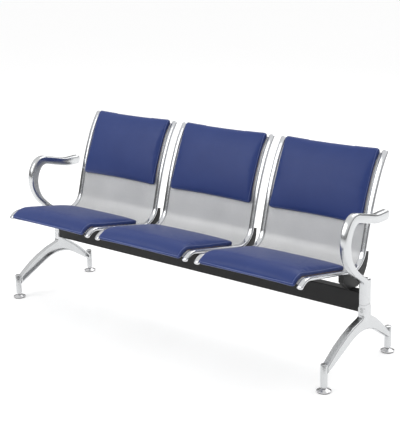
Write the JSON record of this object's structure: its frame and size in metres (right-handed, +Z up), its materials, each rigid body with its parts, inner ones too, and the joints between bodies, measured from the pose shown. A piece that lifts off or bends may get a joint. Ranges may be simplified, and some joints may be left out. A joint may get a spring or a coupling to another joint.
{
  "type": "beam seating",
  "caption": "Beam seating: padded perforated-shell places side by side on a steel beam, with C-shaped arm castings and spread leg castings on levelling glides.",
  "frame": {"origin": "centre of the footprint, at floor level under the four glides", "axes": "+X along the beam to the sitter's left hand, the longest extent; -Y is the front, the side a sitter faces; +Z is up"},
  "size_m": [1.7258, 0.5956, 0.8037],
  "materials": {
    "black_powder_coat": "satin black powder coat",
    "polished_casting": "polished and plated aluminium casting",
    "grey_sheet_paint": "light grey satin powder coat with a fine perforation",
    "board": "plain pressed plywood",
    "blue_upholstery": "soft blue leather cloth with a light sheen",
    "chromed_rail": "bright chrome plate",
    "chromed_glide": "chrome plate",
    "zinc_steel": "zinc-plated steel",
    "glide_rubber": "black rubber"
  },
  "bodies": {
    "bench": {"beam": "black_powder_coat", "arm_casting_left": "polished_casting", "leg_casting_left": "polished_casting", "arm_casting_right": "polished_casting", "leg_casting_right": "polished_casting", "perforated_shell_1": "grey_sheet_paint", "seat_board_1": "board", "back_board_1": "board", "seat_cushion_1": "blue_upholstery", "back_cushion_1": "blue_upholstery", "side_rail_1_left": "chromed_rail", "seat_bracket_1_left": "black_powder_coat", "side_rail_1_right": "chromed_rail", "seat_bracket_1_right": "black_powder_coat", "perforated_shell_2": "grey_sheet_paint", "seat_board_2": "board", "back_board_2": "board", "seat_cushion_2": "blue_upholstery", "back_cushion_2": "blue_upholstery", "side_rail_2_left": "chromed_rail", "seat_bracket_2_left": "black_powder_coat", "side_rail_2_right": "chromed_rail", "seat_bracket_2_right": "black_powder_coat", "perforated_shell_3": "grey_sheet_paint", "seat_board_3": "board", "back_board_3": "board", "seat_cushion_3": "blue_upholstery", "back_cushion_3": "blue_upholstery", "side_rail_3_left": "chromed_rail", "seat_bracket_3_left": "black_powder_coat", "side_rail_3_right": "chromed_rail", "seat_bracket_3_right": "black_powder_coat", "beam_bolts": "zinc_steel", "rail_screws": "zinc_steel", "cushion_screws": "zinc_steel", "end_screws": "zinc_steel"},
    "glide_front_left": {"glide_foot_front_left": "chromed_glide", "glide_pad_front_left": "glide_rubber"},
    "stud_front_left": {"glide_stud_front_left": "zinc_steel"},
    "glide_rear_left": {"glide_foot_rear_left": "chromed_glide", "glide_pad_rear_left": "glide_rubber"},
    "stud_rear_left": {"glide_stud_rear_left": "zinc_steel"},
    "glide_front_right": {"glide_foot_front_right": "chromed_glide", "glide_pad_front_right": "glide_rubber"},
    "stud_front_right": {"glide_stud_front_right": "zinc_steel"},
    "glide_rear_right": {"glide_foot_rear_right": "chromed_glide", "glide_pad_rear_right": "glide_rubber"},
    "stud_rear_right": {"glide_stud_rear_right": "zinc_steel"}
  },
  "joints": [
    {"name": "glide_slide_front_left", "type": "slide", "parent": "bench", "child": "glide_front_left", "axis": [0, 0, -1], "range_m": [0, 0.012]},
    {"name": "stud_turn_front_left", "type": "hinge", "parent": "glide_front_left", "child": "stud_front_left", "pos_m": [-0.835, -0.21998, 0.03], "axis": [0, 0, -1], "range_deg": [0, 2881]},
    {"name": "glide_slide_rear_left", "type": "slide", "parent": "bench", "child": "glide_rear_left", "axis": [0, 0, -1], "range_m": [0, 0.012]},
    {"name": "stud_turn_rear_left", "type": "hinge", "parent": "glide_rear_left", "child": "stud_rear_left", "pos_m": [-0.835, 0.23402, 0.03], "axis": [0, 0, -1], "range_deg": [0, 2881]},
    {"name": "glide_slide_front_right", "type": "slide", "parent": "bench", "child": "glide_front_right", "axis": [0, 0, -1], "range_m": [0, 0.012]},
    {"name": "stud_turn_front_right", "type": "hinge", "parent": "glide_front_right", "child": "stud_front_right", "pos_m": [0.835, -0.21998, 0.03], "axis": [0, 0, -1], "range_deg": [0, 2881]},
    {"name": "glide_slide_rear_right", "type": "slide", "parent": "bench", "child": "glide_rear_right", "axis": [0, 0, -1], "range_m": [0, 0.012]},
    {"name": "stud_turn_rear_right", "type": "hinge", "parent": "glide_rear_right", "child": "stud_rear_right", "pos_m": [0.835, 0.23402, 0.03], "axis": [0, 0, -1], "range_deg": [0, 2881]}
  ],
  "couplings": [
    {"joint": "stud_turn_front_left", "follows": "glide_slide_front_left", "rad_per_m": 4188.8},
    {"joint": "stud_turn_rear_left", "follows": "glide_slide_rear_left", "rad_per_m": 4188.8},
    {"joint": "stud_turn_front_right", "follows": "glide_slide_front_right", "rad_per_m": 4188.8},
    {"joint": "stud_turn_rear_right", "follows": "glide_slide_rear_right", "rad_per_m": 4188.8}
  ]
}
